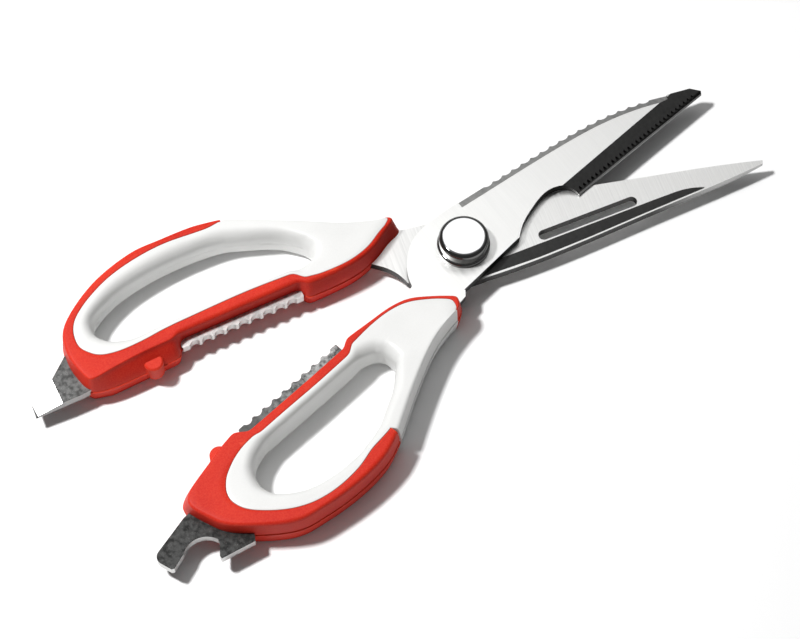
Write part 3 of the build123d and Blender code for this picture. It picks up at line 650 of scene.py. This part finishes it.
# ---------------------------------------------------------------- handles
# The scaler half's rows are turned over, so its Y runs the other way.
for half, rows, turn, flip in (
    ("slotted_half", SLOTTED_ROWS, SLOTTED_GRIP_TURN, 1),
    ("scaler_half", SCALER_ROWS, SCALER_GRIP_TURN, -1),
):
    lines, marks = closed_lines(rows)
    for level in ("top", "bottom"):
        above = level == "top"
        shape = [section(line, above) for line in lines]
        beside = [marks["front"] <= i <= marks["rim"] for i in range(len(shape))]
        red_rings = [red_ring(s) for s, b in zip(shape, beside) if b]
        white_rings = [white_ring(s, b) for s, b in zip(shape, beside)]
        for colour, rings, closed, material, node in (
            ("red", red_rings, False, red, "shell"),
            ("white", white_rings, True, white, "grip"),
        ):
            name = f"{half}_{level}_{colour}"
            piece = build_rings(name, rings, closed, math.radians(turn), flip, above)
            piece.data.materials.append(material)
            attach(piece, half)
            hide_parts(f"{half}_{level}_{node}")

# ---------------------------------------------------------------- carried-over pieces
FINISHES = {
    "slotted_blade": slotted_steel,
    "scaler_blade": scaler_steel,
    "slotted_half_nut_jaw": slotted_jaw_steel,
    "scaler_half_nut_jaw": scaler_jaw_steel,
    "screwdriver_tip": screwdriver_steel,
    "bottle_opener": opener_steel,
    "slotted_half_stop_bumper": red,
    "scaler_half_stop_bumper": red,
    "pivot_cap": chrome,
    "flange_washer": chrome,
    "pivot_bolt": bolt_steel,
    "pivot_nut": bolt_steel,
    "spring_washer": bolt_steel,
    "friction_washer": nylon,
}
for node, material in FINISHES.items():
    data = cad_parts[node].data
    data.materials.clear()
    data.materials.append(material)

# ---------------------------------------------------------------- floor
FLOOR = 3.0
FLOOR_GREY = 0.95
floor_mesh = bpy.data.meshes.new("floor")
floor_corners = [(-FLOOR, -FLOOR, 0), (FLOOR, -FLOOR, 0), (FLOOR, FLOOR, 0), (-FLOOR, FLOOR, 0)]
floor_mesh.from_pydata(floor_corners, [], [(0, 1, 2, 3)])
floor = bpy.data.objects.new("floor", floor_mesh)
bpy.context.scene.collection.objects.link(floor)
paper = Paint("floor_paper")
paper.shader.inputs["Base Color"].default_value = (FLOOR_GREY, FLOOR_GREY, FLOOR_GREY, 1)
paper.shader.inputs["Roughness"].default_value = 0.9
floor_mesh.materials.append(paper.material)

# ---------------------------------------------------------------- light
# The view's own directions on the floor, to the right and away from the camera, and the
# point that the camera and the lights look at.
VIEW_TURN = math.radians(-27.8)
RIGHT = Vector((math.cos(VIEW_TURN), math.sin(VIEW_TURN), 0))
AWAY = Vector((-math.sin(VIEW_TURN), math.cos(VIEW_TURN), 0))
UP = Vector((0, 0, 1))
TARGET = Vector((-0.02748, -0.00952, 0))
# Each softbox: its place from the target (right, away, up), its size and its power.
SOFTBOXES = {
    "key": ((-0.44, 0.05, 0.80), (0.10, 0.10), 9.6),
    "overhead": ((0.0, 0.5, 0.95), (0.8, 0.5), 1.4),
}
WORLD_STRENGTH = 0.15

world = bpy.data.worlds.new("studio")
bpy.context.scene.world = world
world.use_nodes = True
world.node_tree.nodes["Background"].inputs["Color"].default_value = (1, 1, 1, 1)
world.node_tree.nodes["Background"].inputs["Strength"].default_value = WORLD_STRENGTH

for name, ((right, away, up), size, power) in SOFTBOXES.items():
    data = bpy.data.lights.new(name, "AREA")
    data.shape = "RECTANGLE"
    data.size, data.size_y = size
    data.energy = power
    lamp = bpy.data.objects.new(name, data)
    bpy.context.scene.collection.objects.link(lamp)
    lamp.location = TARGET + RIGHT * right + AWAY * away + UP * up
    lamp.rotation_mode = "QUATERNION"
    lamp.rotation_quaternion = (TARGET - lamp.location).to_track_quat("-Z", "Y")

# ---------------------------------------------------------------- camera
ELEVATION = math.radians(62)
DISTANCE = 0.78125
camera_data = bpy.data.cameras.new("camera")
camera_data.lens = 112.5
camera_data.sensor_width = 36
camera_data.clip_start = 0.01
camera_data.clip_end = 20
camera = bpy.data.objects.new("camera", camera_data)
bpy.context.scene.collection.objects.link(camera)
look = AWAY * math.cos(ELEVATION) - UP * math.sin(ELEVATION)
camera.location = TARGET - look * DISTANCE
camera.rotation_mode = "QUATERNION"
camera.rotation_quaternion = look.to_track_quat("-Z", "Y")
bpy.context.scene.camera = camera
bpy.context.scene.view_settings.view_transform = "Standard"
